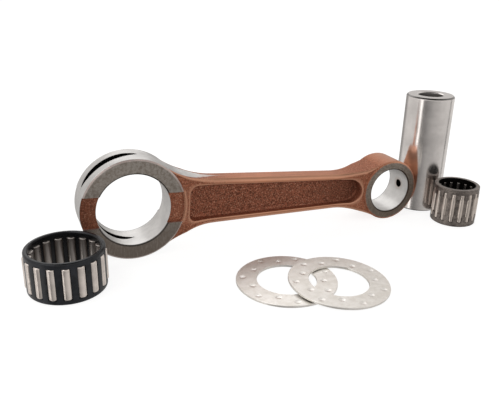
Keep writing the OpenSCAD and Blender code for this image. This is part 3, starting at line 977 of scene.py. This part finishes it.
def brown_cage_finish(colours):
    """Brown-grey phosphated steel, scratched outside, with painted shade that makes it black
    inside.
    """
    finish = Finish("brown_phosphate")
    tint = colours.brown_cage
    cloud = finish.rise(finish.noise(0.5, 3.0, 0.65), 0.32, 0.68)
    scratch = finish.noise(1.0, 3.0, 0.65, finish.stretch(1.4, 1.4, 4.0))
    outside = outer_wall(finish, "small_end_cage", SMALL_CAGE_BORE_R, 0.35 * MM)
    colour = finish.blend(cloud, tone(tint, 0.62), tone(tint, 1.35))
    colour = finish.blend(finish.rise(scratch, 0.52, 0.68) * 0.45, colour, tone(tint, 2.4))
    # Painted shade: the inner wall is painted nearly black.
    colour = finish.blend(outside, (0.012, 0.011, 0.010), colour)
    return finish.close(colour, 0.36 + cloud * 0.18, 1.0, scratch, 0.015)


def roller_finish(name, tint, warmth, cage, pitch_r):
    """Ground roller steel with soft clouds along it and painted shade on the side that
    faces its cage's axis. warmth tints the steel, in red, green and blue."""
    finish = Finish(name)
    steel = tone(tint, *warmth)
    lines = finish.noise(1.0, 2.0, 0.6, finish.stretch(0.2, 0.2, 1.6))
    cloud = finish.rise(finish.noise(0.25, 3.0, 0.6), 0.3, 0.7)
    outside = outer_wall(finish, cage, pitch_r - 0.5 * MM, 0.5 * MM)
    colour = finish.blend(cloud, tone(steel, 0.8), steel)
    colour = finish.blend(finish.rise(lines, 0.52, 0.70) * 0.14, colour, tone(tint, 0.7))
    # Painted shade on the side of each roller that faces its cage's axis.
    colour = finish.blend(outside, tone(tint, 0.42), colour)
    return finish.close(colour, 0.27 + cloud * 0.06 + lines * 0.06)


def washer_finish(colours):
    """Silver plate with a fine crossed lay, lighter and smoother in the oil dimples."""
    finish = Finish("silver_plate")
    tint = colours.washer
    cloud = finish.rise(finish.noise(0.30, 4.0, 0.65), 0.32, 0.68)
    lay = finish.noise(1.0, 2.0, 0.6, finish.stretch(0.5, 2.2, 1.0))
    grain = finish.noise(3.0, 2.0, 0.6)
    dimple = finish.mark("dimple")
    colour = finish.blend(cloud, tone(tint, 0.88, 0.87, 0.85), tint)
    colour = finish.blend(finish.rise(lay, 0.5, 0.70) * 0.20, colour, tone(tint, 0.82))
    colour = finish.blend(dimple * 0.25, colour, (0.90, 0.88, 0.86))
    rough = 0.34 + grain * 0.10 + lay * 0.06 - dimple * 0.06
    return finish.close(colour, rough, 1.0, grain * 0.5 + lay * 0.5, 0.01)


# ---------------------------------------------------------------- stage


def camera_object():
    """The camera: its heading, dip and roll are angles in radians from looking along +Y."""
    heading, dip, roll = 0.4137, 0.3744, 0.0264
    stand = (-0.05035, -0.24764, 0.10046)
    forward = Vector((math.sin(heading), math.cos(heading), 0))
    level = Vector((math.cos(heading), -math.sin(heading), 0))
    ahead = forward * math.cos(dip) - Vector((0, 0, math.sin(dip)))
    up = level.cross(ahead)
    right = level * math.cos(roll) + up * math.sin(roll)
    top = up * math.cos(roll) - level * math.sin(roll)
    data = bpy.data.cameras.new("camera")
    data.sensor_width, data.lens = 36.0, 42.88
    data.clip_start, data.clip_end = 0.01, 50.0
    camera = bpy.data.objects.new("camera", data)
    turn = Matrix((right, top, -ahead)).transposed().to_4x4()
    camera.matrix_world = Matrix.Translation(stand) @ turn
    return camera


def soft_light(name, at, aim, width, power):
    """A square soft box that faces a point."""
    data = bpy.data.lights.new(name, "AREA")
    data.shape, data.size, data.energy = "SQUARE", width, power
    light = bpy.data.objects.new(name, data)
    light.location = at
    light.rotation_euler = (Vector(aim) - Vector(at)).to_track_quat("-Z", "Y").to_euler()
    return light


def studio_world():
    """Pale overhead. Below the horizon the brightness goes round with the heading, with a
    bright window on one side and dimmer walls, which polished steel shows as stripes."""
    world = bpy.data.worlds.new("studio")
    world.use_nodes = True
    tree = world.node_tree
    tree.nodes.clear()
    where = tree.nodes.new("ShaderNodeTexCoord")

    def ramp(factor, stops):
        node = tree.nodes.new("ShaderNodeValToRGB")
        elements = node.color_ramp.elements
        while len(elements) < len(stops):
            elements.new(0.5)
        for element, (at, level) in zip(elements, stops):
            element.position = at
            element.color = (level, level * 0.975, level * 0.95, 1)
        tree.links.new(factor, node.inputs["Fac"])
        return node.outputs["Color"]

    heading = tree.nodes.new("ShaderNodeTexGradient")
    heading.gradient_type = "RADIAL"
    tree.links.new(where.outputs["Generated"], heading.inputs["Vector"])
    walls = ramp(
        heading.outputs["Fac"],
        [(0.0, 0.66), (0.022, 0.76), (0.033, 1.8), (0.048, 1.8), (0.060, 0.24), (0.11, 0.21),
         (0.20, 0.42), (0.32, 0.58), (0.43, 0.66), (0.46, 0.66), (0.468, 0.12), (0.478, 0.12),
         (0.486, 0.74), (0.59, 0.74), (0.64, 0.36), (0.76, 0.36), (0.81, 0.76), (0.94, 0.70)],
    )
    part = tree.nodes.new("ShaderNodeSeparateXYZ")
    tree.links.new(where.outputs["Generated"], part.inputs[0])
    sky = ramp(
        part.outputs["Z"],
        [(0.0, 0.90), (0.62, 0.94), (0.80, 0.55), (0.93, 0.14), (1.0, 0.10)],
    )
    rise = tree.nodes.new("ShaderNodeMapRange")
    rise.interpolation_type = "SMOOTHSTEP"
    rise.inputs["From Min"].default_value = -0.05
    rise.inputs["From Max"].default_value = 0.25
    tree.links.new(part.outputs["Z"], rise.inputs["Value"])
    blend = tree.nodes.new("ShaderNodeMix")
    blend.data_type = "RGBA"
    background = tree.nodes.new("ShaderNodeBackground")
    output = tree.nodes.new("ShaderNodeOutputWorld")
    tree.links.new(rise.outputs["Result"], blend.inputs["Factor"])
    tree.links.new(walls, blend.inputs[6])
    tree.links.new(sky, blend.inputs[7])
    tree.links.new(blend.outputs[2], background.inputs["Color"])
    tree.links.new(background.outputs["Background"], output.inputs["Surface"])
    return world


def floor_object():
    reach = 15.0
    corners = [(-reach, -reach), (reach, -reach), (reach, reach), (-reach, reach)]
    mesh = bpy.data.meshes.new("floor")
    mesh.from_pydata([(x, y, FLOOR_Z - 0.02 * MM) for x, y in corners], [], [(0, 1, 2, 3)])
    finish = Finish("pale_floor")
    cloud = finish.noise(0.01, 2.0)
    pale = finish.blend(cloud, (0.28, 0.28, 0.28), (0.31, 0.31, 0.31))
    more = {"Emission Color": (1.0, 1.0, 1.0), "Emission Strength": 0.84, "Specular IOR Level": 0.1}
    mesh.materials.append(finish.close(pale, 0.9, 0.0, **more))
    floor = bpy.data.objects.new("floor", mesh)
    floor.visible_glossy = False
    return floor


# ---------------------------------------------------------------- operators


class RODKIT_OT_stage(bpy.types.Operator):
    """Sets the pale floor, the soft light and the camera"""

    bl_idname = "rodkit.stage"
    bl_label = "Stage"

    def execute(self, context):
        scene = context.scene
        scene.world = studio_world()
        scene.view_settings.view_transform = "Standard"
        floor, camera = floor_object(), camera_object()
        middle = (0.06, -0.01, 0.0)
        lights = [
            soft_light("key_light", (-0.55, -0.15, 0.75), middle, 0.5, 1.5),
            soft_light("back_light", (0.20, 0.75, 0.70), middle, 0.7, 1.2),
        ]
        for thing in [floor, camera, *lights]:
            scene.collection.objects.link(thing)
        scene.camera = camera
        return {"FINISHED"}


class RODKIT_OT_rod(bpy.types.Operator):
    """Builds the rod's shank, big end and small end"""

    bl_idname = "rodkit.rod"
    bl_label = "Connecting Rod"

    def execute(self, context):
        sizes, colours = context.scene.rodkit_sizes, context.scene.rodkit_colours
        pad = colours.ground_face
        big = rod_finish("big_end_steel", (0, 0, 0), RING_R, BIG_BORE_R, colours, pad, False)
        pad = tone(pad, 0.84, 0.80, 0.76)
        small = rod_finish("small_end_steel", EYE_AT, EYE_R, SMALL_BORE_R, colours, pad, True)
        pieces = (
            ("rod_shank", shank_mesh(sizes), shank_finish(colours)),
            ("rod_big_end", big_end_mesh(sizes), big),
            ("rod_small_end", small_end_mesh(sizes), small),
        )
        for name, mesh, material in pieces:
            place(name, mesh, material, "connecting_rod", ["connecting_rod"])
        return {"FINISHED"}


class RODKIT_OT_crank_pin(bpy.types.Operator):
    """Builds the crank pin"""

    bl_idname = "rodkit.crank_pin"
    bl_label = "Crank Pin"

    def execute(self, context):
        sizes = context.scene.rodkit_sizes
        material = crank_pin_finish(context.scene.rodkit_colours, sizes)
        place("pin_body", crank_pin_mesh(sizes), material, "crank_pin", ["crank_pin"])
        return {"FINISHED"}


class RODKIT_OT_cages(bpy.types.Operator):
    """Builds the two bearing cages"""

    bl_idname = "rodkit.cages"
    bl_label = "Bearing Cages"

    def execute(self, context):
        colours = context.scene.rodkit_colours
        seat, lip = 2.005 * MM, 1.72 * MM
        profile, rollers = big_cage_profile(), named("big_end_roller_")
        bore_r, window = BIG_CAGE_BORE_R, BIG_WINDOW
        mesh = cage_mesh("big_end_cage", rollers, profile, bore_r, seat, lip, window)
        finish, node = black_cage_finish(colours), "big_end_cage"
        place("cage_big", mesh, finish, node, [node])
        seat, lip = 1.255 * MM, 1.1 * MM
        profile, rollers = small_cage_profile(), named("small_end_needle_")
        bore_r, window = SMALL_CAGE_BORE_R, SMALL_WINDOW
        mesh = cage_mesh("small_end_cage", rollers, profile, bore_r, seat, lip, window)
        finish, node = brown_cage_finish(colours), "small_end_cage"
        place("cage_small", mesh, finish, node, [node])
        return {"FINISHED"}


class RODKIT_OT_rollers(bpy.types.Operator):
    """Builds the big end's rollers and the small end's needles"""

    bl_idname = "rodkit.rollers"
    bl_label = "Rollers and Needles"

    def execute(self, context):
        tint = context.scene.rodkit_colours.roller
        rollers = ("roller_", "big_end_", BIG_PITCH_R, 0.7 * MM, (1.10, 1.09, 1.08))
        needles = ("needle_", "small_end_", SMALL_PITCH_R, 0.4 * MM, (0.96, 0.93, 0.90))
        for short, end, pitch_r, end_round, warmth in (rollers, needles):
            material = roller_finish(short + "steel", tint, warmth, end + "cage", pitch_r)
            for node in named(end + short):
                name = short + node.rsplit("_", 1)[1]
                place(name, roller_mesh(node, end_round), material, node, [node])
        return {"FINISHED"}


class RODKIT_OT_washers(bpy.types.Operator):
    """Builds the two thrust washers"""

    bl_idname = "rodkit.washers"
    bl_label = "Thrust Washers"

    def execute(self, context):
        sizes = context.scene.rodkit_sizes
        material = washer_finish(context.scene.rodkit_colours)
        for number, turn in ((1, 52), (2, 40)):
            node = f"thrust_washer_{number}"
            mesh = washer_mesh(f"washer_{number}", MOUNTS[node + "_bore"], turn, sizes)
            place(f"washer_{number}", mesh, material, node, [node])
        return {"FINISHED"}


class RODKIT_PT_panel(bpy.types.Panel):
    bl_idname = "RODKIT_PT_panel"
    bl_label = "Connecting Rod Kit"
    bl_space_type = "VIEW_3D"
    bl_region_type = "UI"
    bl_category = "Rod Kit"

    def draw(self, context):
        column = self.layout.column()
        for builder in BUILDERS:
            column.operator(builder.bl_idname)
        for group in (context.scene.rodkit_sizes, context.scene.rodkit_colours):
            for name in group.__annotations__:
                column.prop(group, name)


BUILDERS = (
    RODKIT_OT_stage,
    RODKIT_OT_rod,
    RODKIT_OT_crank_pin,
    RODKIT_OT_cages,
    RODKIT_OT_rollers,
    RODKIT_OT_washers,
)
CLASSES = (RodKitSizes, RodKitColours, *BUILDERS, RODKIT_PT_panel)


def register():
    for cls in CLASSES:
        bpy.utils.register_class(cls)
    bpy.types.Scene.rodkit_sizes = bpy.props.PointerProperty(type=RodKitSizes)
    bpy.types.Scene.rodkit_colours = bpy.props.PointerProperty(type=RodKitColours)


def unregister():
    del bpy.types.Scene.rodkit_colours
    del bpy.types.Scene.rodkit_sizes
    for cls in reversed(CLASSES):
        bpy.utils.unregister_class(cls)


def main():
    register()
    bpy.ops.rodkit.stage()
    bpy.ops.rodkit.rod()
    bpy.ops.rodkit.crank_pin()
    bpy.ops.rodkit.cages()
    bpy.ops.rodkit.rollers()
    bpy.ops.rodkit.washers()


if __name__ == "__main__":
    main()
